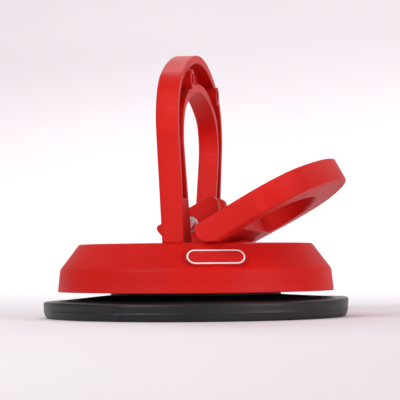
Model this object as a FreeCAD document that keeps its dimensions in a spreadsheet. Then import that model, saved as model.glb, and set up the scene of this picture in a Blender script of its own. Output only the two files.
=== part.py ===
import FreeCAD, Part
import os
import re
import Sketcher
from FreeCAD import Placement, Rotation, Vector

# Locking suction cup with two squeeze handles.  All sizes in mm, +Z up.
# Origin: centre of the pad's sealing face.  The lever folds out towards +X
# and its hinge runs along Y; the part mirrors about the XZ plane.

doc = FreeCAD.newDocument("suction_cup")
sheet = doc.addObject("Spreadsheet::Sheet", "Sizes")

SIZES = {
    # rubber pad
    "pad_radius": 60.0, "pad_foot_radius": 58.4, "pad_seal_inner": 51.7, "pad_flash": 0.1,
    "pad_rim_top": 6.8, "pad_rim_width": 4.5, "pad_hollow": 3.4, "pad_lip": 0.9,
    "pad_brow_radius": 34.0, "pad_brow_top": 8.7,
    "pad_boss_radius": 20.0, "pad_boss_top": 10.5, "pad_seat": 8.5,
    # steel insert and nut in the pad
    "insert_radius": 17.0, "nut_across": 13.0, "nut_top": 15.0,
    # pull stud, lift block and hinge pin
    "stud_radius": 4.0, "stud_low": 9.0, "stud_top": 33.0,
    "block_bottom": 29.2, "block_half": 6.5, "block_width": 12.0,
    "pin_height": 36.0, "pin_radius": 2.1, "pin_half": 15.4, "pin_dome": 0.6,
    "clip_radius": 3.3, "clip_thick": 0.7, "clip_plane": 13.3, "clip_gap": 2.4,
    "washer_radius": 4.6, "washer_thick": 0.6, "roll_radius": 1.0, "roll_height": 31.2,
    # housing
    "skirt_low": 10.2, "skirt_radius": 54.2, "belt_height": 18.7, "belt_radius": 53.3,
    "deck_top": 28.6, "deck_radius": 45.8, "deck_thick": 3.4, "shell_wall": 2.8,
    "tube_low": 21.0, "tube_radius": 9.0, "bush_radius": 6.5,
    "rib_count": 8.0, "rib_thick": 2.0, "rib_low": 13.1, "rib_start": 8.2,
    "ring_inner": 27.5, "ring_outer": 33.5, "ring_top": 13.0, "ring_gap": 0.08,
    "ring_screw_at": 30.5, "ring_screw_radius": 1.5, "ring_screw_top": 20.0,
    "ring_head_radius": 2.6, "ring_head_low": 9.7, "ring_head_top": 11.3,
    "ring_boss_radius": 3.4,
    # wear plate on the deck and its screws
    "plate_front": 9.0, "plate_back": 13.5, "plate_half": 14.4, "plate_thick": 1.2,
    "plate_hole": 6.6, "plate_screw_front": 6.8, "plate_screw_back": 11.2,
    "plate_screw_side": 11.8, "plate_head_radius": 1.9, "plate_shank_radius": 1.1,
    # rubber bumpers under the lever heels
    "bumper_radius": 3.0, "bumper_thick": 2.0, "bumper_front": 15.0, "bumper_side": 36.0,
    # upright handle
    "loop_height": 73.3, "loop_crown": 100.0, "loop_corner": 20.0, "loop_half": 56.0,
    "loop_foot": 45.0, "hole_height": 59.2, "hole_crown": 85.0, "hole_corner": 13.0,
    "hole_half": 42.6, "hole_foot": 27.0, "loop_wall": 3.0, "loop_edge": 1.0, "loop_back": 5.3,
    "loop_thick": 8.2, "foot_height": 16.4,
    "peg_side": 32.0, "peg_level": 61.2, "boss_radius": 3.7, "boss_bore": 2.1,
    "boss_reach": 1.7, "boss_depth": 6.6,
    "screw_side": 37.2, "screw_line": 1.2, "screw_radius": 2.0,
    "screw_end": 38.6, "head_radius": 3.0, "head_thick": 2.4, "flat_radius": 3.15,
    "flat_thick": 0.8, "drive_radius": 1.25,
    # lever handle
    "swing_deg": 61.0, "lift_travel": 5.2, "lever_face": 4.9, "lever_thick": 9.1,
    "lever_tip": 60.2, "cross_low": 14.0, "cross_top": 20.0, "arm_inner": 6.9,
    "arm_outer": 13.0, "hub_back": 5.8, "hub_corner": 3.0, "cam_radius": 9.7,
    "cam_offset": 5.12, "heel_run": 16.9, "heel_radius": 5.0, "tail_round": 1.3, "heel_in": 7.90,
    "heel_up": 9.915, "sleeve_radius": 3.2, "sleeve_bore": 2.16, "lock_radius": 1.65,
    "lock_reach": 4.1,
    # blank oval badge on the housing bevel
    "badge_half": 11.5, "badge_radius": 3.8, "badge_thick": 0.5, "badge_height": 23.2,
    "badge_turn": 17.6,
}
for row, (alias, value) in enumerate(SIZES.items(), start=1):
    sheet.set("A%d" % row, alias)
    sheet.set("B%d" % row, str(value))
    sheet.setAlias("B%d" % row, alias)
doc.recompute()


def bound(text):
    """Expression text with every alias written as a reference into the sheet."""
    return re.sub(r"\b([a-z]+(?:_[a-z]+)+)\b", r"Sizes.\1", str(text))


def value_of(text):
    """Present value of an expression over the sheet."""
    result = sheet.evalExpression(bound(text))
    return float(getattr(result, "Value", result))


def new_body(name, many=False):
    body = doc.addObject("PartDesign::Body", name)
    body.Label = name
    if many:
        body.AllowCompound = True
    return body


def new_sketch(body, plane, name, lift="0"):
    """Sketch on one of the body's origin planes, raised along its normal."""
    sketch = body.newObject("Sketcher::SketchObject", name)
    support = [o for o in body.Origin.OriginFeatures if o.Role == plane][0]
    sketch.AttachmentSupport = (support, "")
    sketch.MapMode = "FlatFace"
    sketch.setExpression("AttachmentOffset.Base.z", bound(lift))
    return sketch


def pin_point(sketch, edge, corner, x_text, y_text):
    """Fix one sketch point by two distances bound to the sheet."""
    for kind, text, axis in (("DistanceX", x_text, -2), ("DistanceY", y_text, -1)):
        size = value_of(text)
        if abs(size) < 1e-9:
            sketch.addConstraint(Sketcher.Constraint("PointOnObject", edge, corner, axis))
            continue
        index = sketch.addConstraint(Sketcher.Constraint(kind, -1, 1, edge, corner, size))
        sketch.setExpression("Constraints[%d]" % index, bound(text))


def outline(sketch, points):
    """Closed outline; each point is (x, y) or (x, y, radius, side) where the
    edge leaving the point is an arc of that radius bulging to that side."""
    spots = [Vector(value_of(p[0]), value_of(p[1]), 0) for p in points]
    edges = []
    for i, point in enumerate(points):
        start, end = spots[i], spots[(i + 1) % len(spots)]
        if len(point) == 2:
            edges.append((sketch.addGeometry(Part.LineSegment(start, end)), 1, 2))
            continue
        radius = value_of(point[2])
        chord = end - start
        across = Vector(chord.y, -chord.x, 0).normalize() * point[3]
        rise = (radius ** 2 - chord.Length ** 2 / 4) ** 0.5
        middle = (start + end) * 0.5 + across * (radius - rise)
        index = sketch.addGeometry(Part.Arc(start, middle, end))
        begins = sketch.getPoint(index, 1).distanceToPoint(start) < 1e-6
        edges.append((index, 1, 2) if begins else (index, 2, 1))
        row = sketch.addConstraint(Sketcher.Constraint("Radius", index, radius))
        sketch.setExpression("Constraints[%d]" % row, bound(point[2]))
    for i, (edge, first, _) in enumerate(edges):
        pin_point(sketch, edge, first, points[i][0], points[i][1])
        before, _, last = edges[i - 1]
        sketch.addConstraint(Sketcher.Constraint("Coincident", before, last, edge, first))


def circle(sketch, x_text, y_text, radius_text):
    centre = Vector(value_of(x_text), value_of(y_text), 0)
    radius = value_of(radius_text)
    index = sketch.addGeometry(Part.Circle(centre, Vector(0, 0, 1), radius))
    pin_point(sketch, index, 3, x_text, y_text)
    row = sketch.addConstraint(Sketcher.Constraint("Radius", index, radius))
    sketch.setExpression("Constraints[%d]" % row, bound(radius_text))


def rectangle(sketch, x_low, x_high, y_low, y_high):
    outline(sketch, [(x_low, y_low), (x_high, y_low), (x_high, y_high), (x_low, y_high)])


def pad(body, sketch, length, name="Pad", both=False, back=False):
    feature = body.newObject("PartDesign::Pad", name)
    feature.Profile = sketch
    feature.setExpression("Length", bound(length))
    feature.Reversed = back
    if both:
        feature.SideType = "Symmetric"
    sketch.Visibility = False
    return feature


def pocket(body, sketch, length, name="Pocket", both=False, back=False):
    feature = body.newObject("PartDesign::Pocket", name)
    feature.Profile = sketch
    feature.setExpression("Length", bound(length))
    feature.Reversed = back
    if both:
        feature.SideType = "Symmetric"
    sketch.Visibility = False
    return feature


def turn(body, points, name="Turned"):
    """Solid of revolution about the body's Z axis from an (r, z) outline."""
    sketch = new_sketch(body, "XZ_Plane", name + "_profile")
    outline(sketch, points)
    feature = body.newObject("PartDesign::Revolution", name)
    feature.Profile = sketch
    feature.ReferenceAxis = (sketch, ["V_Axis"])
    feature.Angle = 360.0
    sketch.Visibility = False
    return feature


def disc(body, plane, spots, radius, low, length, name, cut=False, back=False):
    """Round posts (or holes) of one radius standing on a plane."""
    sketch = new_sketch(body, plane, name + "_circles", low)
    for x_text, y_text in spots:
        circle(sketch, x_text, y_text, radius)
    make = pocket if cut else pad
    return make(body, sketch, length, name, back=back)


def round_edges(body, picks, radius, name):
    """Fillet the edges of the body's tip that a test picks out."""
    doc.recompute()
    tip = body.Tip
    names = ["Edge%d" % (i + 1) for i, e in enumerate(tip.Shape.Edges) if picks(e)]
    feature = body.newObject("PartDesign::Fillet", name)
    feature.Base = (tip, names)
    feature.setExpression("Radius", bound(radius))
    tip.Visibility = False
    return feature


def along_band(edge, face):
    """True for an outline edge of a handle band on the plane x = face."""
    flat = all(abs(v.X - face) < 1e-6 for v in edge.Vertexes)
    across = isinstance(edge.Curve, Part.Line) and abs(edge.tangentAt(edge.FirstParameter).z) < 0.2
    return flat and not across


def ring_at(edge, radius, level):
    """True for a full circle about Z with this radius and height."""
    curve = edge.Curve
    if not isinstance(curve, Part.Circle) or not edge.isClosed():
        return False
    centre = curve.Center
    on_axis = abs(centre.x) < 1e-6 and abs(centre.y) < 1e-6
    return on_axis and abs(curve.Radius - radius) < 1e-4 and abs(centre.z - level) < 1e-4


def corners(front, back, side):
    return [(x, y) for x in (front, back) for y in (side, "-" + side)]


def arch_side(half, corner, crown, height, foot, base):
    """Points down one side of a handle outline, as numbers, for a first guess:
    crown joint, shoulder joint and foot."""
    centre_w = half - corner
    centre_h = height - crown + ((crown - corner) ** 2 - centre_w ** 2) ** 0.5
    lean = Vector(centre_w, centre_h - (height - crown), 0).normalize()
    crown_joint = Vector(centre_w, centre_h, 0) + lean * corner
    reach = Vector(centre_w - foot, centre_h - base, 0)
    tangent = (reach.Length ** 2 - corner ** 2) ** 0.5
    unit = Vector(reach.x, reach.y, 0).normalize()
    side = Vector(unit.y, -unit.x, 0)
    cosine = tangent / reach.Length
    sine = corner / reach.Length
    direction = unit * cosine + side * sine
    shoulder = Vector(foot, base, 0) + direction * tangent
    return crown_joint, shoulder, Vector(foot, base, 0), Vector(centre_w, centre_h, 0)


def arch(sketch, half, corner, crown, height, foot, base):
    """One handle outline: crown arc, two corner arcs, two leg lines.
    Returns the two leg lines so that their feet can be joined up."""
    numbers = [value_of(v) for v in (half, corner, crown, height, foot, base)]
    joint, shoulder, toe, centre = arch_side(*numbers)
    radius, top = numbers[1], numbers[3]
    mirror = lambda p: Vector(-p.x, p.y, 0)
    crown_arc = sketch.addGeometry(Part.Arc(joint, Vector(0, top, 0), mirror(joint)))
    middle = centre + ((joint - centre) + (shoulder - centre)).normalize() * radius
    right = sketch.addGeometry(Part.Arc(shoulder, middle, joint))
    left = sketch.addGeometry(Part.Arc(mirror(joint), mirror(middle), mirror(shoulder)))
    right_leg = sketch.addGeometry(Part.LineSegment(toe, shoulder))
    left_leg = sketch.addGeometry(Part.LineSegment(mirror(shoulder), mirror(toe)))
    rule = Sketcher.Constraint
    sketch.addConstraint(rule("Tangent", right_leg, 2, right, 1))
    sketch.addConstraint(rule("Tangent", right, 2, crown_arc, 1))
    sketch.addConstraint(rule("Tangent", crown_arc, 2, left, 1))
    sketch.addConstraint(rule("Tangent", left, 2, left_leg, 1))
    sketch.addConstraint(rule("PointOnObject", crown_arc, 3, -2))
    for kind, edge, spot, text in (
        ("Radius", right, 0, corner),
        ("Radius", crown_arc, 0, crown),
        ("DistanceY", crown_arc, 3, "(%s) - (%s)" % (height, crown)),
        ("DistanceX", right, 3, "(%s) - (%s)" % (half, corner)),
    ):
        size = value_of(text)
        row = rule(kind, edge, size) if spot == 0 else rule(kind, -1, 1, edge, spot, size)
        index = sketch.addConstraint(row)
        sketch.setExpression("Constraints[%d]" % index, bound(text))
    sketch.addConstraint(rule("Symmetric", right, 3, left, 3, -2))
    pin_point(sketch, right_leg, 1, foot, base)
    pin_point(sketch, left_leg, 2, "-(%s)" % foot, base)
    return right_leg, left_leg


def horseshoe(sketch, outer, inner):
    """Closed band between two handle outlines, shut by a line at each foot."""
    outer_right, outer_left = arch(sketch, *outer)
    inner_right, inner_left = arch(sketch, *inner)
    for a, a_end, b, b_end in (
        (outer_right, 1, inner_right, 1),
        (outer_left, 2, inner_left, 2),
    ):
        line = sketch.addGeometry(
            Part.LineSegment(sketch.getPoint(a, a_end), sketch.getPoint(b, b_end))
        )
        sketch.addConstraint(Sketcher.Constraint("Coincident", line, 1, a, a_end))
        sketch.addConstraint(Sketcher.Constraint("Coincident", line, 2, b, b_end))


def leg_lean(half, corner, crown, height, foot):
    """Angle between a handle's leg and the upright, as expression text."""
    centre_w = "(%s - %s)" % (half, corner)
    centre_h = "(%s - %s + sqrt((%s - %s) ^ 2 - %s ^ 2))" % (height, crown, crown, corner, centre_w)
    side = "(%s - %s)" % (centre_w, foot)
    return "(asin(%s / sqrt(%s ^ 2 + %s ^ 2)) + atan(%s / %s))" % (
        corner, side, centre_h, side, centre_h)


LOOP_LEAN = leg_lean("loop_half", "loop_corner", "loop_crown", "loop_height", "loop_foot")
HOLE_LEAN = leg_lean("hole_half", "hole_corner", "hole_crown", "hole_height", "hole_foot")


def handle_band(sketch, shift, base, wall):
    """Band of a handle: outer and inner outline moved up by shift, legs cut at
    base, both walls taken off."""
    # the legs lean, so a foot moved up the leg also moves outwards
    rise = "(%s) - (%s)" % (base, shift)
    outer = (
        "loop_half - %s" % wall, "loop_corner - %s" % wall, "loop_crown - %s" % wall,
        "loop_height + (%s) - %s" % (shift, wall),
        "loop_foot - %s / cos(%s) + (%s) * tan(%s)" % (wall, LOOP_LEAN, rise, LOOP_LEAN), base,
    )
    inner = (
        "hole_half + %s" % wall, "hole_corner + %s" % wall, "hole_crown + %s" % wall,
        "hole_height + (%s) + %s" % (shift, wall),
        "hole_foot + %s / cos(%s) + (%s) * tan(%s)" % (wall, HOLE_LEAN, rise, HOLE_LEAN), base,
    )
    horseshoe(sketch, outer, inner)


# ---------------------------------------------------------------- rubber pad
suction_pad = new_body("suction_pad")
turn(suction_pad, [
    ("0", "pad_hollow",
     "(pad_seal_inner ^ 2 + (pad_hollow + pad_flash) ^ 2) / (2 * (pad_hollow + pad_flash))", -1),
    ("pad_seal_inner", "-pad_flash"),
    ("pad_foot_radius - pad_flash", "-pad_flash"),
    ("pad_foot_radius + pad_lip", "pad_lip"),
    ("pad_radius", "pad_rim_top - 0.7"),
    ("pad_radius - 0.7", "pad_rim_top"),
    ("pad_radius - pad_rim_width", "pad_rim_top"),
    ("pad_brow_radius", "pad_brow_top"),
    ("pad_boss_radius", "pad_boss_top"),
    ("insert_radius + 0.02", "pad_boss_top"),
    ("insert_radius + 0.02", "pad_seat"),
    ("0", "pad_seat"),
], "Moulding")
# the moulding is ground flat where it seals
ground = new_sketch(suction_pad, "XY_Plane", "ground_face")
circle(ground, "0", "0", "pad_radius + 1")
pocket(suction_pad, ground, "10 * pad_flash", "Ground_face")

pad_insert = new_body("pad_insert")
turn(pad_insert, [
    ("0", "pad_seat + 0.02"),
    ("insert_radius", "pad_seat + 0.02"),
    ("insert_radius", "pad_boss_top - 0.5"),
    ("insert_radius - 0.5", "pad_boss_top"),
    ("0", "pad_boss_top"),
], "Disc")
disc(pad_insert, "XY_Plane", [("0", "0")], "stud_radius + 0.05", "pad_boss_top",
     "pad_boss_top - stud_low + 0.1", "Stud_hole", cut=True)

# ------------------------------------------------ stud, block, pin and fixings
pull_stud = new_body("pull_stud")
turn(pull_stud, [
    ("0", "stud_low"),
    ("stud_radius - 0.6", "stud_low"),
    ("stud_radius", "stud_low + 0.6"),
    ("stud_radius", "stud_top - 0.6"),
    ("stud_radius - 0.6", "stud_top"),
    ("0", "stud_top"),
], "Rod")
roll_hole = new_sketch(pull_stud, "XZ_Plane", "roll_hole")
circle(roll_hole, "0", "roll_height", "roll_radius + 0.02")
pocket(pull_stud, roll_hole, "block_width + 4", "Roll_pin_hole", both=True)

stud_nut = new_body("stud_nut")
hexagon = new_sketch(stud_nut, "XY_Plane", "hexagon", "pad_boss_top + 0.02")
outline(hexagon, [
    ("nut_across / 2 / cos(30) * cos(%d)" % a, "nut_across / 2 / cos(30) * sin(%d)" % a)
    for a in (30, 90, 150, 210, 270, 330)
])
pad(stud_nut, hexagon, "nut_top - pad_boss_top - 0.02", "Hex")
disc(stud_nut, "XY_Plane", [("0", "0")], "stud_radius + 0.05", "nut_top",
     "nut_top - pad_boss_top + 1", "Bore", cut=True)

lift_block = new_body("lift_block")
eye = new_sketch(lift_block, "XZ_Plane", "eye")
outline(eye, [
    ("-block_half", "block_bottom"),
    ("block_half", "block_bottom"),
    ("block_half", "pin_height", "block_half + 0.01", 1),
    ("-block_half", "pin_height"),
])
pad(lift_block, eye, "block_width", "Eye", both=True)
pin_bore = new_sketch(lift_block, "XZ_Plane", "pin_bore")
circle(pin_bore, "0", "pin_height", "pin_radius + 0.02")
circle(pin_bore, "0", "roll_height", "roll_radius + 0.02")
pocket(lift_block, pin_bore, "block_width + 4", "Cross_bores", both=True)
disc(lift_block, "XY_Plane", [("0", "0")], "stud_radius + 0.02", "block_bottom",
     "stud_top - block_bottom + 0.1", "Stud_socket", cut=True, back=True)
round_edges(lift_block, lambda e: abs(e.CenterOfMass.z - SIZES["block_bottom"]) < 1e-6
            and isinstance(e.Curve, Part.Line), "0.8", "Foot_round")

stud_roll_pin = new_body("stud_roll_pin")
roll = new_sketch(stud_roll_pin, "XZ_Plane", "roll")
circle(roll, "0", "roll_height", "roll_radius")
pad(stud_roll_pin, roll, "block_width - 0.8", "Roll", both=True)

hinge_pin = new_body("hinge_pin")
rod = new_sketch(hinge_pin, "XZ_Plane", "rod")
circle(rod, "0", "pin_height", "pin_radius")
pad(hinge_pin, rod, "2 * pin_half", "Rod", both=True)
round_edges(hinge_pin, lambda e: isinstance(e.Curve, Part.Circle), "pin_dome", "Domed_ends")

pin_clip = new_body("pin_clip")
ring = new_sketch(pin_clip, "XZ_Plane", "ring", "-clip_plane")
circle(ring, "0", "pin_height", "clip_radius")
circle(ring, "0", "pin_height", "pin_radius + 0.02")
pad(pin_clip, ring, "clip_thick", "Clip", back=True)
mouth = new_sketch(pin_clip, "XZ_Plane", "mouth")
rectangle(mouth, "-clip_gap / 2", "clip_gap / 2", "pin_height - clip_radius - 1", "pin_height")
pocket(pin_clip, mouth, "4 * pin_half", "Clip_mouth", both=True)

pin_washers = new_body("pin_washers", many=True)
for side, name in ((1, "Far"), (-1, "Near")):
    place = "-(block_width / 2 + 0.05)" if side == 1 else "block_width / 2 + 0.05"
    ring = new_sketch(pin_washers, "XZ_Plane", name + "_ring", place)
    circle(ring, "0", "pin_height", "washer_radius")
    circle(ring, "0", "pin_height", "pin_radius + 0.05")
    pad(pin_washers, ring, "washer_thick", name + "_washer", back=(side == 1))

# ------------------------------------------------------------------- housing
housing = new_body("housing")
turn(housing, [
    ("skirt_radius - shell_wall", "skirt_low"),
    ("skirt_radius", "skirt_low"),
    ("belt_radius", "belt_height"),
    ("deck_radius", "deck_top"),
    ("bush_radius + 0.02", "deck_top"),
    ("bush_radius + 0.02", "tube_low"),
    ("tube_radius", "tube_low"),
    ("tube_radius", "deck_top - deck_thick"),
    ("deck_radius - 1.6", "deck_top - deck_thick"),
    ("belt_radius - shell_wall", "belt_height - 0.9"),
], "Shell")
round_edges(housing, lambda e: ring_at(e, SIZES["deck_radius"], SIZES["deck_top"]),
            "1.4", "Deck_round")
round_edges(housing, lambda e: ring_at(e, SIZES["belt_radius"], SIZES["belt_height"]),
            "2.5", "Belt_round")
rib = new_sketch(housing, "XZ_Plane", "rib")
outline(rib, [
    ("rib_start", "rib_low + rib_start"),
    ("ring_inner", "rib_low"),
    ("ring_outer + 1.0", "rib_low"),
    ("ring_outer + 1.0", "belt_height - 1.0"),
    ("deck_radius - 2.0", "deck_top - deck_thick + 1.0"),
    ("rib_start", "deck_top - deck_thick + 1.0"),
])
first_rib = pad(housing, rib, "rib_thick", "Rib", both=True)
ribs = housing.newObject("PartDesign::PolarPattern", "Ribs")
ribs.Originals = [first_rib]
ribs.Axis = (rib, ["V_Axis"])
ribs.Angle = 360.0
ribs.setExpression("Occurrences", bound("rib_count"))
housing.Tip = ribs

RING_SPOTS = [
    ("ring_screw_at * cos(%s)" % a, "ring_screw_at * sin(%s)" % a)
    for a in ("22.5", "112.5", "202.5", "292.5")
]
disc(housing, "XY_Plane", RING_SPOTS, "ring_boss_radius", "ring_top + 0.05",
     "deck_top - deck_thick - ring_top + 0.3", "Ring_bosses")
disc(housing, "XY_Plane", RING_SPOTS, "ring_screw_radius + 0.05", "ring_top - 1",
     "ring_screw_top - ring_top + 1.2", "Ring_screw_holes", cut=True, back=True)

HANDLE_SPOTS = [("-screw_line", "screw_side"), ("-screw_line", "-screw_side")]
disc(housing, "XY_Plane", HANDLE_SPOTS, "screw_radius + 0.15", "deck_top + 1",
     "deck_thick + 8", "Handle_screw_holes", cut=True)
disc(housing, "XY_Plane", HANDLE_SPOTS, "flat_radius + 0.3", "deck_top - deck_thick",
     "8", "Washer_faces", cut=True)
recess = new_sketch(housing, "XY_Plane", "plate_recess", "deck_top")
rectangle(recess, "-plate_back - 0.05", "plate_front + 0.05",
          "-plate_half - 0.05", "plate_half + 0.05")
pocket(housing, recess, "plate_thick", "Plate_recess")
PLATE_SPOTS = corners("plate_screw_front", "-plate_screw_back", "plate_screw_side")
disc(housing, "XY_Plane", PLATE_SPOTS, "plate_shank_radius + 0.05", "deck_top",
     "deck_thick + 6", "Plate_screw_holes", cut=True)
BUMPER_SPOTS = [("bumper_front", "bumper_side"), ("bumper_front", "-bumper_side")]
disc(housing, "XY_Plane", BUMPER_SPOTS, "bumper_radius + 0.02", "deck_top",
     "bumper_thick", "Bumper_seats", cut=True)

guide_bush = new_body("guide_bush")
turn(guide_bush, [
    ("stud_radius + 0.05", "tube_low"),
    ("bush_radius", "tube_low"),
    ("bush_radius", "deck_top"),
    ("stud_radius + 0.45", "deck_top"),
    ("stud_radius + 0.05", "deck_top - 0.4"),
], "Bush")

wear_plate = new_body("wear_plate")
sheet_face = new_sketch(wear_plate, "XY_Plane", "sheet", "deck_top - plate_thick")
rectangle(sheet_face, "-plate_back", "plate_front", "-plate_half", "plate_half")
pad(wear_plate, sheet_face, "plate_thick", "Sheet")
disc(wear_plate, "XY_Plane", [("0", "0")], "plate_hole", "deck_top",
     "plate_thick + 1", "Stud_opening", cut=True)
disc(wear_plate, "XY_Plane", PLATE_SPOTS, "plate_head_radius + 0.05", "deck_top",
     "plate_thick + 1", "Screw_openings", cut=True)
round_edges(wear_plate, lambda e: isinstance(e.Curve, Part.Line)
            and abs(e.Vertexes[0].Z - e.Vertexes[-1].Z) > 1, "1.0", "Corner_round")

plate_screws = new_body("plate_screws", many=True)
disc(plate_screws, "XY_Plane", PLATE_SPOTS, "plate_head_radius",
     "deck_top - plate_thick", "plate_thick", "Heads")
disc(plate_screws, "XY_Plane", PLATE_SPOTS, "plate_shank_radius",
     "deck_top - deck_thick + 0.1", "deck_thick - plate_thick", "Shanks")
disc(plate_screws, "XY_Plane", PLATE_SPOTS, "plate_shank_radius * 0.7", "deck_top",
     "0.7", "Drives", cut=True)

heel_bumpers = new_body("heel_bumpers", many=True)
disc(heel_bumpers, "XY_Plane", BUMPER_SPOTS, "bumper_radius",
     "deck_top - bumper_thick", "bumper_thick", "Bumpers")

# the ring's underside follows the slope of the pad's shoulder
SHOULDER = (
    "ring_gap + pad_brow_top + (pad_brow_radius -",
    "* (pad_boss_top - pad_brow_top) / (pad_brow_radius - pad_boss_radius)",
)
pressure_ring = new_body("pressure_ring")
turn(pressure_ring, [
    ("ring_inner", "%s ring_inner) %s" % SHOULDER),
    ("ring_outer", "%s ring_outer) %s" % SHOULDER),
    ("ring_outer", "ring_top"),
    ("ring_inner", "ring_top"),
], "Ring")
disc(pressure_ring, "XY_Plane", RING_SPOTS, "ring_screw_radius + 0.15", "ring_top",
     "ring_top", "Screw_holes", cut=True)
disc(pressure_ring, "XY_Plane", RING_SPOTS, "ring_head_radius + 0.1", "ring_head_top",
     "ring_head_top", "Head_seats", cut=True)

ring_screws = new_body("ring_screws", many=True)
disc(ring_screws, "XY_Plane", RING_SPOTS, "ring_head_radius", "ring_head_low",
     "ring_head_top - ring_head_low", "Heads")
disc(ring_screws, "XY_Plane", RING_SPOTS, "ring_screw_radius", "ring_head_top",
     "ring_screw_top - ring_head_top", "Shanks")
disc(ring_screws, "XY_Plane", RING_SPOTS, "ring_screw_radius * 0.7", "ring_head_low",
     "0.9", "Drives", cut=True, back=True)

# The badge is a thin stadium-shaped plate let into the front bevel.
BEVEL = "atan((deck_radius - belt_radius) / (deck_top - belt_height))"


def badge_outline(sketch, grow):
    length = "badge_half - badge_radius"
    radius = "badge_radius + %s" % grow
    bow = "1.001 * (%s)" % radius
    outline(sketch, [
        (length, "-(%s)" % radius, bow, 1),
        (length, radius),
        ("-(%s)" % length, radius, bow, 1),
        ("-(%s)" % length, "-(%s)" % radius),
    ])


def badge_plane(sketch, depth):
    """Lay a sketch on the front of the bevel, depth below its surface."""
    slope = value_of(BEVEL)
    middle = value_of("belt_radius + (deck_radius - belt_radius)"
                      " * (badge_height - belt_height) / (deck_top - belt_height)")
    across = Rotation(Vector(0, 0, 1), value_of("badge_turn"))
    tilt = Rotation(Vector(1, 0, 0), 90 + slope)
    turn_to = across.multiply(tilt)
    outward = turn_to.multVec(Vector(0, 0, 1))
    point = across.multVec(Vector(0, -middle, value_of("badge_height")))
    sketch.AttachmentSupport = None
    sketch.MapMode = "Deactivated"
    sketch.Placement = Placement(point - outward * depth, turn_to)


badge_seat = new_sketch(housing, "XY_Plane", "badge_seat")
badge_outline(badge_seat, "0.05")
badge_plane(badge_seat, -1.0)
pocket(housing, badge_seat, "1.0 + badge_thick", "Badge_seat")

badge = new_body("badge")
badge_face = new_sketch(badge, "XY_Plane", "badge_face")
badge_outline(badge_face, "0")
badge_plane(badge_face, SIZES["badge_thick"])
pad(badge, badge_face, "badge_thick + 0.35", "Plate")

# ------------------------------------------------------------ upright handle
upright_handle = new_body("upright_handle")
upright_handle.setExpression("Placement.Base.z", bound("deck_top"))
band = new_sketch(upright_handle, "YZ_Plane", "band", "-loop_back")
handle_band(band, "0", "0", "0")
pad(upright_handle, band, "loop_thick", "Band")
round_edges(upright_handle, lambda e: along_band(e, -SIZES["loop_back"]), "loop_edge", "Back_edges")
channel = new_sketch(upright_handle, "YZ_Plane", "channel", "loop_thick - loop_back")
handle_band(channel, "0", "foot_height", "loop_wall")
pocket(upright_handle, channel, "loop_thick - loop_wall", "Channel")
BOSS_SPOTS = [("peg_side", "peg_level"), ("-peg_side", "peg_level")]
disc(upright_handle, "YZ_Plane", BOSS_SPOTS, "boss_radius", "loop_wall - loop_back - 0.5",
     "loop_thick - loop_wall + boss_reach + 0.5", "Bosses")
disc(upright_handle, "YZ_Plane", BOSS_SPOTS, "boss_bore",
     "loop_thick - loop_back + boss_reach", "boss_depth", "Boss_bores", cut=True)
disc(upright_handle, "XY_Plane", HANDLE_SPOTS, "screw_radius + 0.02", "0",
     "screw_end - deck_top + 0.5", "Screw_bores", cut=True, back=True)

handle_screws = new_body("handle_screws", many=True)
HEAD_TOP = "deck_top - deck_thick - flat_thick"
disc(handle_screws, "XY_Plane", HANDLE_SPOTS, "head_radius",
     HEAD_TOP + " - head_thick", "head_thick", "Heads")
disc(handle_screws, "XY_Plane", HANDLE_SPOTS, "screw_radius", HEAD_TOP,
     "screw_end - (%s)" % HEAD_TOP, "Shanks")
disc(handle_screws, "XY_Plane", HANDLE_SPOTS, "drive_radius", HEAD_TOP + " - head_thick",
     "head_thick * 0.6", "Drives", cut=True, back=True)

screw_washers = new_body("screw_washers", many=True)
disc(screw_washers, "XY_Plane", HANDLE_SPOTS, "flat_radius", HEAD_TOP, "flat_thick", "Flats")
disc(screw_washers, "XY_Plane", HANDLE_SPOTS, "screw_radius + 0.1",
     "deck_top - deck_thick", "flat_thick", "Holes", cut=True)

# -------------------------------------------------------------- lever handle
# Drawn squeezed shut with the hinge at its own origin, then turned open.
lever_handle = new_body("lever_handle")
RISE = "lever_tip - loop_height"
band = new_sketch(lever_handle, "YZ_Plane", "lever_band", "lever_face")
handle_band(band, RISE, "0.5", "0")
pad(lever_handle, band, "lever_thick", "Band")
round_edges(lever_handle, lambda e: along_band(e, SIZES["lever_face"] + SIZES["lever_thick"]),
            "loop_edge", "Grip_edges")
heel_cut = new_sketch(lever_handle, "XZ_Plane", "heel_cut")
SLOPE = "tan(swing_deg)"
HEEL_X = "cam_radius * sin(swing_deg) - cam_offset * cos(swing_deg / 2)"
HEEL_Z = "-(cam_radius * cos(swing_deg)) - cam_offset * sin(swing_deg / 2)"
outline(heel_cut, [
    ("lever_face - 1", "-1"),
    ("lever_face + lever_thick + 1", "-1"),
    ("lever_face + lever_thick + 1",
     "%s + (lever_face + lever_thick + 1 - (%s)) * %s" % (HEEL_Z, HEEL_X, SLOPE)),
    ("heel_in + heel_radius * sin(swing_deg)", "heel_up - heel_radius * cos(swing_deg)",
     "heel_radius", -1),
    ("lever_face", "heel_up - sqrt(heel_radius ^ 2 - (heel_in - lever_face) ^ 2)"),
    ("lever_face - 1", "heel_up - sqrt(heel_radius ^ 2 - (heel_in - lever_face) ^ 2)"),
])
pocket(lever_handle, heel_cut, "3 * loop_half", "Heels", both=True)
channel = new_sketch(lever_handle, "YZ_Plane", "lever_channel", "lever_face")
handle_band(channel, RISE, "cross_top", "loop_wall")
pocket(lever_handle, channel, "lever_thick - loop_wall", "Channel", back=True)
cross = new_sketch(lever_handle, "XZ_Plane", "cross_bar")
rectangle(cross, "lever_face", "lever_face + lever_thick", "cross_low", "cross_top")
pad(lever_handle, cross, "2 * (hole_half + 3)", "Cross_bar", both=True)
arm = new_sketch(lever_handle, "XZ_Plane", "cam_arms")
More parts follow.
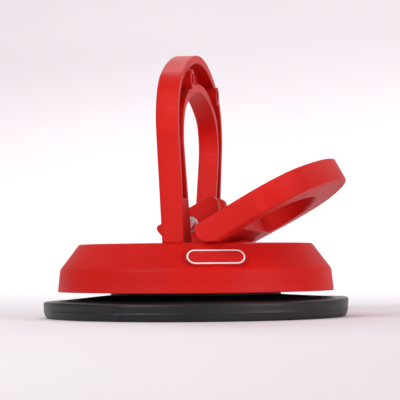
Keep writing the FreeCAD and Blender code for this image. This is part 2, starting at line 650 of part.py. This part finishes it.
CAM_X = "-(cam_offset * cos(swing_deg / 2))"
CAM_Z = "-(cam_offset * sin(swing_deg / 2))"
outline(arm, [
    (CAM_X, "%s - cam_radius" % CAM_Z, "cam_radius", 1),
    (HEEL_X, HEEL_Z),
    ("%s + heel_run * cos(swing_deg)" % HEEL_X, "%s + heel_run * sin(swing_deg)" % HEEL_Z),
    ("lever_face + lever_thick", "cross_low"),
    ("lever_face + lever_thick", "cross_top"),
    ("lever_face", "cross_top"),
    ("lever_face", "cross_low - 3.2"),
    ("hub_corner - hub_back", "cross_low - 0.3", "hub_corner", 1),
    ("-hub_back", "cross_low - 0.3 - hub_corner"),
    ("-hub_back", "%s - cam_radius + 1.1" % CAM_Z, "tail_round", 1),
])
pad(lever_handle, arm, "2 * arm_outer", "Arms", both=True)
slot = new_sketch(lever_handle, "XZ_Plane", "block_slot")
rectangle(slot, "-hub_back - 6", "lever_face + lever_thick + 1",
          "-2 * cam_radius", "cross_low")
pocket(lever_handle, slot, "2 * arm_inner", "Block_slot", both=True)
sleeve_bore = new_sketch(lever_handle, "XZ_Plane", "sleeve_bore")
circle(sleeve_bore, "0", "0", "sleeve_radius + 0.02")
pocket(lever_handle, sleeve_bore, "3 * arm_outer", "Sleeve_bores", both=True)
PEG_LEVEL = "peg_level + deck_top - pin_height - lift_travel"
LOCK_SPOTS = [("peg_side", PEG_LEVEL), ("-peg_side", PEG_LEVEL)]
disc(lever_handle, "YZ_Plane", LOCK_SPOTS, "lock_radius", "lock_reach",
     "lever_face + lever_thick - lock_reach - loop_wall + 0.5", "Lock_pegs")

lever_sleeves = new_body("lever_sleeves", many=True)
for side, name in ((1, "Far"), (-1, "Near")):
    place = "-arm_inner" if side == 1 else "arm_inner"
    ring = new_sketch(lever_sleeves, "XZ_Plane", name + "_ring", place)
    circle(ring, "0", "0", "sleeve_radius")
    circle(ring, "0", "0", "sleeve_bore")
    pad(lever_sleeves, ring, "arm_outer - arm_inner - 0.8", name + "_sleeve", back=(side == 1))

for body in (lever_handle, lever_sleeves):
    body.Placement = Placement(Vector(0, 0, 0), Rotation(Vector(0, 1, 0), SIZES["swing_deg"]))
    body.setExpression("Placement.Base.z", bound("pin_height"))
    body.setExpression("Placement.Rotation.Angle", bound("swing_deg"))

# ------------------------------------------------------------ check and write
doc.recompute()
broken = [o.Name for o in doc.Objects if {"Invalid", "Error"} & set(o.State)]
bodies = [o for o in doc.Objects if o.isDerivedFrom("PartDesign::Body")]
broken += [b.Label for b in bodies if b.Shape.isNull() or not b.Shape.isValid()]
if broken:
    raise RuntimeError("not built: " + ", ".join(broken))
os.makedirs("parts", exist_ok=True)
for body in bodies:
    body.Shape.exportStep("parts/%s.step" % body.Label)
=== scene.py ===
import math

import bmesh
import bpy
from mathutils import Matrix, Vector


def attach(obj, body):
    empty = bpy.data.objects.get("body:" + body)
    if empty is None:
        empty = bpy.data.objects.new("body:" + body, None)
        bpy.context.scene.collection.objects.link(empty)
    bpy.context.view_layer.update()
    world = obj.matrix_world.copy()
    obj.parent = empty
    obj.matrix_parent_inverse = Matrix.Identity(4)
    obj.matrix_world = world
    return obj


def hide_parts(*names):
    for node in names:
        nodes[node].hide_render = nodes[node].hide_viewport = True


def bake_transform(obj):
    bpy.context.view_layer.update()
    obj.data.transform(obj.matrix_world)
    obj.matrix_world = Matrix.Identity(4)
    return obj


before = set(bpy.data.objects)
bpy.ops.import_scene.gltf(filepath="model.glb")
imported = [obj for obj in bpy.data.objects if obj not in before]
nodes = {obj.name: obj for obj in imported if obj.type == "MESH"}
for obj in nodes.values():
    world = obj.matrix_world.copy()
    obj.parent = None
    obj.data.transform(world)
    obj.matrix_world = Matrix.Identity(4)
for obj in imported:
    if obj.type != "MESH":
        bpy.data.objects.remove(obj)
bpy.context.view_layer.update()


# ------------------------------------------------------------------ materials
GRAIN_DEPTH = 0.0002
SCRATCH_DEPTH = 0.00005
SCRATCH_STRETCH = 6.0


def new_material(name):
    mat = bpy.data.materials.new(name)
    mat.use_nodes = True
    tree = mat.node_tree
    shader = tree.nodes["Principled BSDF"]
    return mat, tree, shader


def add(tree, kind, **inputs):
    """One node with its sockets set by name."""
    node = tree.nodes.new(kind)
    for key, value in inputs.items():
        node.inputs[key.replace("_", " ")].default_value = value
    return node


def noise(tree, coords, scale, detail=4.0, rough=0.5):
    node = add(tree, "ShaderNodeTexNoise", Scale=scale, Detail=detail, Roughness=rough)
    tree.links.new(coords, node.inputs["Vector"])
    return node.outputs["Fac"]


def ramp(tree, fac, stops):
    """Colour ramp over fac; each stop is a place and a colour."""
    node = tree.nodes.new("ShaderNodeValToRGB")
    elements = node.color_ramp.elements
    while len(elements) < len(stops):
        elements.new(0.5)
    for element, (place, color) in zip(elements, stops):
        element.position = place
        element.color = (*color, 1)
    tree.links.new(fac, node.inputs["Fac"])
    return node.outputs["Color"]


def span(tree, fac, low, high, start=0.0, end=1.0):
    """fac remapped from start..end to low..high."""
    node = tree.nodes.new("ShaderNodeMapRange")
    for key, value in (("From Min", start), ("From Max", end), ("To Min", low), ("To Max", high)):
        node.inputs[key].default_value = value
    tree.links.new(fac, node.inputs["Value"])
    return node.outputs["Result"]


def mix(tree, fac, base, accent):
    """The base socket blended to the accent colour by the fac socket."""
    node = tree.nodes.new("ShaderNodeMix")
    node.data_type = "RGBA"
    base_color, accent_color, result = node.inputs[6], node.inputs[7], node.outputs[2]
    tree.links.new(fac, node.inputs["Factor"])
    tree.links.new(base, base_color)
    accent_color.default_value = (*accent, 1)
    return result


def bump(tree, height, strength, distance, normal=None):
    node = add(tree, "ShaderNodeBump", Strength=strength, Distance=distance)
    tree.links.new(height, node.inputs["Height"])
    if normal is not None:
        tree.links.new(normal, node.inputs["Normal"])
    return node.outputs["Normal"]


def object_coords(tree):
    return tree.nodes.new("ShaderNodeTexCoord").outputs["Object"]


def soft_edges(tree, radius, grain, strength):
    """Edges shaded as if rounded to a radius, with a grain on top."""
    edges = tree.nodes.new("ShaderNodeBevel")
    edges.samples = 6
    edges.inputs["Radius"].default_value = radius
    return bump(tree, grain, strength, GRAIN_DEPTH, edges.outputs["Normal"])


def edge_wear(tree, most):
    """From 0 on flat surfaces up to most where the surface turns a convex edge."""
    geometry = tree.nodes.new("ShaderNodeNewGeometry")
    return span(tree, geometry.outputs["Pointiness"], 0.0, most, 0.53, 0.62)


def red_plastic(name, deep=(0.54, 0.0045, 0.0024), bright=(0.66, 0.0085, 0.0040)):
    """Moulded red plastic: slight mottling, fine moulding grain, paler edges."""
    mat, tree, shader = new_material(name)
    coords = object_coords(tree)
    cloud = noise(tree, coords, 28.0, 3.0, 0.55)
    color = ramp(tree, cloud, [(0.30, deep), (0.72, bright)])
    color = mix(tree, edge_wear(tree, 0.55), color, (0.74, 0.026, 0.020))
    tree.links.new(color, shader.inputs["Base Color"])
    smear = noise(tree, coords, 60.0, 5.0, 0.6)
    tree.links.new(span(tree, smear, 0.46, 0.60, 0.3, 0.7), shader.inputs["Roughness"])
    grain = noise(tree, coords, 900.0, 2.0, 0.5)
    tree.links.new(soft_edges(tree, 0.0007, grain, 0.08), shader.inputs["Normal"])
    shader.inputs["Specular IOR Level"].default_value = 0.17
    return mat


def rubber(name):
    """Black rubber with a faint bloom and a fine grain."""
    dark = (0.010, 0.010, 0.011)
    pale = (0.024, 0.024, 0.026)
    mat, tree, shader = new_material(name)
    coords = object_coords(tree)
    bloom = noise(tree, coords, 45.0, 6.0, 0.65)
    color = ramp(tree, bloom, [(0.35, dark), (0.75, pale)])
    color = mix(tree, edge_wear(tree, 0.5), color, (0.09, 0.09, 0.095))
    tree.links.new(color, shader.inputs["Base Color"])
    tree.links.new(span(tree, bloom, 0.34, 0.52, 0.3, 0.7), shader.inputs["Roughness"])
    grain = noise(tree, coords, 1400.0, 3.0, 0.6)
    tree.links.new(soft_edges(tree, 0.0003, grain, 0.18), shader.inputs["Normal"])
    shader.inputs["Specular IOR Level"].default_value = 0.36
    return mat


def metal(name, color, rough=(0.26, 0.38)):
    """Bare metal with fine scratches and slightly uneven colour."""
    mat, tree, shader = new_material(name)
    coords = object_coords(tree)
    stretch = tree.nodes.new("ShaderNodeMapping")
    stretch.inputs["Scale"].default_value = (1.0, 1.0, SCRATCH_STRETCH)
    tree.links.new(coords, stretch.inputs["Vector"])
    lines = noise(tree, stretch.outputs["Vector"], 240.0, 3.0, 0.5)
    cloud = noise(tree, coords, 120.0, 3.0, 0.5)
    dark = tuple(0.72 * c for c in color)
    tree.links.new(ramp(tree, cloud, [(0.3, dark), (0.7, color)]), shader.inputs["Base Color"])
    tree.links.new(span(tree, lines, rough[0], rough[1], 0.3, 0.7), shader.inputs["Roughness"])
    tree.links.new(bump(tree, lines, 0.04, SCRATCH_DEPTH), shader.inputs["Normal"])
    shader.inputs["Metallic"].default_value = 1.0
    return mat


def nylon(name, low, high):
    """Plain engineering plastic, a little uneven and matt."""
    mat, tree, shader = new_material(name)
    coords = object_coords(tree)
    cloud = noise(tree, coords, 90.0, 4.0, 0.55)
    tree.links.new(ramp(tree, cloud, [(0.3, low), (0.7, high)]), shader.inputs["Base Color"])
    tree.links.new(span(tree, cloud, 0.45, 0.6), shader.inputs["Roughness"])
    grain = noise(tree, coords, 1100.0, 2.0, 0.5)
    tree.links.new(bump(tree, grain, 0.15, GRAIN_DEPTH), shader.inputs["Normal"])
    return mat


RED = red_plastic("red_moulding")
BADGE_RED = red_plastic("badge_face", (0.34, 0.003, 0.004), (0.43, 0.006, 0.007))
RUBBER = rubber("black_rubber")
STEEL = metal("plain_steel", (0.62, 0.62, 0.64))
BRIGHT = metal("bright_steel", (0.90, 0.90, 0.92))
DARK_STEEL = metal("dark_spring_steel", (0.16, 0.16, 0.17), (0.28, 0.42))
BRASS = metal("brass", (0.76, 0.56, 0.25))
WHITE_NYLON = nylon("natural_nylon", (0.70, 0.69, 0.64), (0.80, 0.79, 0.75))
BLACK_NYLON = nylon("black_nylon", (0.020, 0.020, 0.022), (0.040, 0.040, 0.043))
WHITE_PAINT = nylon("white_print", (0.80, 0.78, 0.78), (0.90, 0.88, 0.88))

FINISH = {
    "housing": RED, "upright_handle": RED, "lever_handle": RED, "badge": BADGE_RED,
    "heel_bumpers": RUBBER, "hinge_pin": BRIGHT, "pin_clip": DARK_STEEL,
    "pin_washers": WHITE_NYLON, "pressure_ring": BLACK_NYLON, "guide_bush": BRASS,
    "lever_sleeves": WHITE_NYLON,
}
for name, node in nodes.items():
    node.data.materials.clear()
    node.data.materials.append(FINISH.get(name, STEEL))
    for face in node.data.polygons:
        face.use_smooth = True


# --------------------------------------------------------------------- meshes
def mesh_object(name, bm, material):
    """A smooth-shaded object in the scene, made from a bmesh, which it frees."""
    mesh = bpy.data.meshes.new(name)
    bmesh.ops.recalc_face_normals(bm, faces=bm.faces)
    bm.to_mesh(mesh)
    bm.free()
    for face in mesh.polygons:
        face.use_smooth = True
    mesh.materials.append(material)
    obj = bpy.data.objects.new(name, mesh)
    bpy.context.scene.collection.objects.link(obj)
    return obj


# ----------------------------------------------------------------- rubber pad
# The sag is in metres. The groove and the ridges are in millimetres, as the profiles are.
SAG_START = 0.036
SAG_WIDTH = 0.024
SAG_FULL_HEIGHT = 0.004
AROUND = 192
GROOVE_TOP = 0.22
HOLLOW_RINGS = 25
RIDGES_AT = (4, 8, 12)
RIDGE_HEIGHT = 0.16


def turned(name, profile, steps, material, wave=None):
    """Surface of revolution from an (r, z) profile, which may end on the axis.

    wave moves each point that isn't on the axis.
    """
    bm = bmesh.new()
    rings = []
    for radius, height in profile:
        if radius == 0:
            rings.append([bm.verts.new((0, 0, height))])
            continue
        ring = []
        for k in range(steps):
            angle = 2 * math.pi * k / steps
            point = Vector((radius * math.cos(angle), radius * math.sin(angle), height))
            ring.append(bm.verts.new(wave(point) if wave else point))
        rings.append(ring)
    for low, high in zip(rings, rings[1:]):
        for k in range(steps):
            j = (k + 1) % steps
            if len(high) == 1:
                bm.faces.new((low[k], low[j], high[0]))
            else:
                bm.faces.new((low[k], low[j], high[j], high[k]))
    return mesh_object(name, bm, material)


def mm(points):
    """Points given in millimetres, in metres."""
    return [(r / 1000, z / 1000) for r, z in points]


def sag(point):
    """The rim lies a little unevenly and higher towards +X.

    The contact face stays within 0.01 mm of flat.
    """
    reach = max(0.0, (math.hypot(point.x, point.y) - SAG_START) / SAG_WIDTH)
    angle = math.atan2(point.y, point.x)
    lift = 0.0005 * math.cos(angle) + 0.0002 * math.sin(angle * 2 + 0.6)
    lift += 0.00012 * math.sin(angle * 5 + 1.1)
    return point + Vector((0, 0, reach * lift * min(1.0, point.z / SAG_FULL_HEIGHT)))


def rubber_pad():
    """The moulding in two pieces: the disc with its rim, and its hollow underside."""
    radius, rise, bottom = 51.0, 3.38, 0.02
    sealing_face = [(radius, bottom)]
    for groove in ((52.2, 52.4, 52.8, 53.0), (54.2, 54.4, 54.8, 55.0)):
        sealing_face += zip(groove, (bottom, GROOVE_TOP, GROOVE_TOP, bottom))
    sealing_face.append((56.6, bottom))
    lip = [
        (58.2, bottom), (58.8, 0.35), (59.25, 0.95),
        (59.5, 1.9), (59.62, 2.6), (59.85, 2.75), (59.85, 3.05), (59.66, 3.2),
        (59.75, 4.4), (59.9, 5.7), (59.75, 6.35), (59.3, 6.72), (58.6, 6.8),
    ]
    top = [
        (57.2, 6.8), (56.2, 6.76), (55.3, 6.84), (53.6, 7.00), (50.0, 7.28),
        (46.0, 7.60), (41.0, 8.02), (37.0, 8.34), (34.4, 8.58), (33.8, 8.68),
        (32.0, 8.90), (28.0, 9.42), (24.0, 9.93), (20.0, 10.44),
    ]
    collar = [(18.0, 10.48), (17.3, 10.35), (17.1, 9.6), (17.06, 8.6)]
    disc = turned("suction_pad_disc", mm(sealing_face + lip + top + collar), AROUND, RUBBER, sag)
    hollow = [(radius, bottom)]
    for k in range(1, HOLLOW_RINGS):
        r = radius * (1 - k / HOLLOW_RINGS)
        ridge = RIDGE_HEIGHT if k in RIDGES_AT else 0.0
        hollow.append((r, bottom + rise * (1 - (r / radius) ** 2) - ridge))
    hollow.append((0, bottom + rise))
    under = turned("suction_pad_hollow", mm(hollow), AROUND, RUBBER)
    for piece in (disc, under):
        divide = piece.modifiers.new("subdivide", "SUBSURF")
        divide.levels = divide.render_levels = 1
    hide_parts("suction_pad")
    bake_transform(disc)
    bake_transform(under)


rubber_pad()


# ---------------------------------------------------------------------- badge
# The outline's section: how far in from the badge's edge, and how high above its face.
LINE_SECTION = [
    (0.00055, -0.00001), (0.00060, 0.00010), (0.00072, 0.00013),
    (0.00100, 0.00013), (0.00112, 0.00010), (0.00117, -0.00001),
]


def badge_plate():
    """Frame of the badge's outer face: centre, long axis, short axis, normal."""
    mesh = nodes["badge"].data
    out = max(mesh.polygons, key=lambda f: f.area * max(0.0, -f.normal.y)).normal.copy()
    face = [
        mesh.vertices[v].co for f in mesh.polygons if f.normal.dot(out) > 0.999 for v in f.vertices
    ]
    along = Vector((0, 0, 1)).cross(out).normalized()
    up = out.cross(along).normalized()
    spans = []
    for axis in (along, up, out):
        reach = [point.dot(axis) for point in face]
        spans.append((min(reach), max(reach)))
    middle = [(low + high) / 2 for low, high in spans]
    centre = along * middle[0] + up * middle[1] + out * spans[2][1]
    half = [(high - low) / 2 for low, high in spans[:2]]
    return centre, along, up, out, half[0], half[1]


def stadium(half_long, half_tall, inset, steps=20):
    """Outline of the badge shape, moved inwards by inset."""
    radius = half_tall - inset
    straight = half_long - half_tall
    points = []
    for side, start in ((1, -90), (-1, 90)):
        for k in range(steps + 1):
            angle = math.radians(start + 180 * k / steps)
            points.append((side * straight + radius * math.cos(angle), radius * math.sin(angle)))
    return points


def badge_parts():
    """The white line that follows the badge's edge."""
    centre, along, up, out, half_long, half_tall = badge_plate()

    def loop(bm, inset, height):
        return [
            bm.verts.new(centre + along * x + up * y + out * height)
            for x, y in stadium(half_long, half_tall, inset)
        ]

    bm = bmesh.new()
    rows = [loop(bm, inset, height) for inset, height in LINE_SECTION]
    for low, high in zip(rows, rows[1:]):
        for k in range(len(low)):
            j = (k + 1) % len(low)
            bm.faces.new((low[k], low[j], high[j], high[k]))
    obj = mesh_object("badge_edge_line", bm, WHITE_PAINT)
    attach(obj, "cup")


badge_parts()


# --------------------------------------------------------------- stage, light
def floor():
    """A pale floor that bends up into a wall at the back."""
    bm = bmesh.new()
    depth, width, height, bend = 1.6, 3.0, 2.2, 1.1
    profile = [(-depth, 0.0), (depth - bend, 0.0)]
    profile += [
        (depth - bend + bend * math.sin(a), bend - bend * math.cos(a))
        for a in (math.radians(x) for x in range(9, 91, 9))
    ]
    profile.append((depth, height))
    rows = [[bm.verts.new((x, y, z)) for x in (-width, width)] for y, z in profile]
    for low, high in zip(rows, rows[1:]):
        bm.faces.new((low[0], low[1], high[1], high[0]))
    mat, tree, shader = new_material("pale_floor")
    coords = object_coords(tree)
    cloud = noise(tree, coords, 3.0, 2.0, 0.5)
    color = ramp(tree, cloud, [(0.3, (0.86, 0.83, 0.85)), (0.7, (0.90, 0.87, 0.89))])
    tree.links.new(color, shader.inputs["Base Color"])
    shader.inputs["Roughness"].default_value = 0.9
    shader.inputs["Specular IOR Level"].default_value = 0.0
    obj = mesh_object("floor", bm, mat)


def area_light(name, place, target, size, watts, color=(1, 1, 1)):
    """A soft rectangular light at a place, aimed at a target, unseen by the camera."""
    lamp = bpy.data.lights.new(name, "AREA")
    lamp.shape = "RECTANGLE"
    lamp.size, lamp.size_y = size
    lamp.energy = watts
    lamp.color = color
    obj = bpy.data.objects.new(name, lamp)
    obj.location = place
    aim = Vector(target) - Vector(place)
    obj.rotation_euler = aim.to_track_quat("-Z", "Y").to_euler()
    obj.visible_camera = False
    bpy.context.scene.collection.objects.link(obj)


floor()
area_light("key", place=(-0.30, -0.46, 0.38), target=(0, 0, 0.08), size=(0.30, 0.30), watts=2.15)
area_light("fill", place=(0.80, -0.45, 0.26), target=(0, 0, 0.05), size=(0.5, 0.6),
           watts=4.4, color=(1.0, 0.86, 0.93))
area_light("behind", place=(-0.10, 0.75, 0.75), target=(0, 0, 0), size=(1.0, 0.5), watts=3.6)
area_light("wall_wash", place=(0.0, 0.55, 1.00), target=(0, 1.6, 0.10), size=(2.6, 0.8),
           watts=11.5, color=(1.0, 0.97, 1.0))
world = bpy.data.worlds.new("studio")
world.use_nodes = True
sky = world.node_tree.nodes["Background"]
sky.inputs["Color"].default_value = (1.0, 0.96, 0.98, 1)
sky.inputs["Strength"].default_value = 0.24
bpy.context.scene.world = world
bpy.context.scene.view_settings.view_transform = "Standard"

# --------------------------------------------------------------------- camera
# The eye is a little below the deck and nine degrees round towards the lever's side.
# FRAME_WIDTH is the width seen at DISTANCE, and VIEW_SHIFT is a share of that width.
DISTANCE = 0.620
TURN = math.radians(9.0)
EYE = 0.022
SIDE_STEP = 0.0017
ROLL = math.radians(-0.45)
FRAME_WIDTH = 0.1576665
VIEW_SHIFT = 0.1515
SENSOR = 36.0
camera = bpy.data.cameras.new("camera")
camera.sensor_width = SENSOR
camera.lens = SENSOR * DISTANCE / FRAME_WIDTH
view = bpy.data.objects.new("camera", camera)
bpy.context.scene.collection.objects.link(view)
right = Vector((math.cos(TURN), math.sin(TURN), 0))
back = Vector((math.sin(TURN), -math.cos(TURN), 0))
view.location = back * DISTANCE + right * SIDE_STEP + Vector((0, 0, EYE))
view.rotation_euler = (math.radians(90), 0, TURN)
view.rotation_euler.rotate_axis("Z", ROLL)
camera.shift_y = VIEW_SHIFT
bpy.context.scene.camera = view
